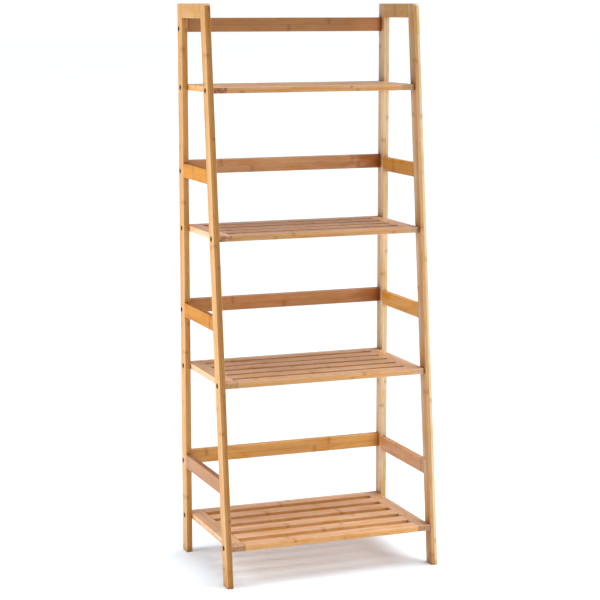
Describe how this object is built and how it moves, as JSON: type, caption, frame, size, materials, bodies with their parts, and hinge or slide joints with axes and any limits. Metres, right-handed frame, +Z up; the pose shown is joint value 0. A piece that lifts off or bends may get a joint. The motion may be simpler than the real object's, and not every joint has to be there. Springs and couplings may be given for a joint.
{
  "type": "ladder shelf",
  "caption": "Free-standing slatted bamboo ladder shelf: front legs lean back, shelves deepen towards the floor, with side guards and back rails.",
  "frame": {"origin": "on the floor, under the middle of the shelf's box", "axes": "+Z up, +X to the right seen from the front, +Y to the back, where the legs are upright"},
  "size_m": [0.48, 0.3099, 1.2],
  "materials": {
    "leg_bamboo": "clear satin lacquer over laminated bamboo, grain along the legs",
    "rail_bamboo": "clear satin lacquer over laminated bamboo, grain along the rails",
    "shelf_bamboo": "clear satin lacquer over laminated bamboo slats",
    "dowel_wood": "plain beech, unfinished, glued in",
    "black_steel": "black oxide, satin",
    "zinc_steel": "zinc plated"
  },
  "bodies": {
    "root": {"left_rear_leg": "leg_bamboo", "left_front_leg": "leg_bamboo", "left_top_rail": "rail_bamboo", "left_upper_guard": "rail_bamboo", "left_middle_guard": "rail_bamboo", "left_lower_guard": "rail_bamboo", "right_rear_leg": "leg_bamboo", "right_front_leg": "leg_bamboo", "right_top_rail": "rail_bamboo", "right_upper_guard": "rail_bamboo", "right_middle_guard": "rail_bamboo", "right_lower_guard": "rail_bamboo", "back_rail_1": "rail_bamboo", "shelf_1_left_end_board": "shelf_bamboo", "shelf_1_right_end_board": "shelf_bamboo", "shelf_1_slat_1": "shelf_bamboo", "shelf_1_slat_2": "shelf_bamboo", "shelf_1_slat_3": "shelf_bamboo", "shelf_1_slat_4": "shelf_bamboo", "back_rail_2": "rail_bamboo", "shelf_2_left_end_board": "shelf_bamboo", "shelf_2_right_end_board": "shelf_bamboo", "shelf_2_slat_1": "shelf_bamboo", "shelf_2_slat_2": "shelf_bamboo", "shelf_2_slat_3": "shelf_bamboo", "shelf_2_slat_4": "shelf_bamboo", "shelf_2_slat_5": "shelf_bamboo", "back_rail_3": "rail_bamboo", "shelf_3_left_end_board": "shelf_bamboo", "shelf_3_right_end_board": "shelf_bamboo", "shelf_3_slat_1": "shelf_bamboo", "shelf_3_slat_2": "shelf_bamboo", "shelf_3_slat_3": "shelf_bamboo", "shelf_3_slat_4": "shelf_bamboo", "shelf_3_slat_5": "shelf_bamboo", "shelf_3_slat_6": "shelf_bamboo", "back_rail_4": "rail_bamboo", "shelf_4_left_end_board": "shelf_bamboo", "shelf_4_right_end_board": "shelf_bamboo", "shelf_4_slat_1": "shelf_bamboo", "shelf_4_slat_2": "shelf_bamboo", "shelf_4_slat_3": "shelf_bamboo", "shelf_4_slat_4": "shelf_bamboo", "shelf_4_slat_5": "shelf_bamboo", "shelf_4_slat_6": "shelf_bamboo", "shelf_bolts": "black_steel", "back_rail_bolts": "black_steel", "shelf_inserts": "zinc_steel", "back_rail_inserts": "zinc_steel", "back_rail_dowels": "dowel_wood", "side_frame_dowels": "dowel_wood"}
  },
  "joints": []
}
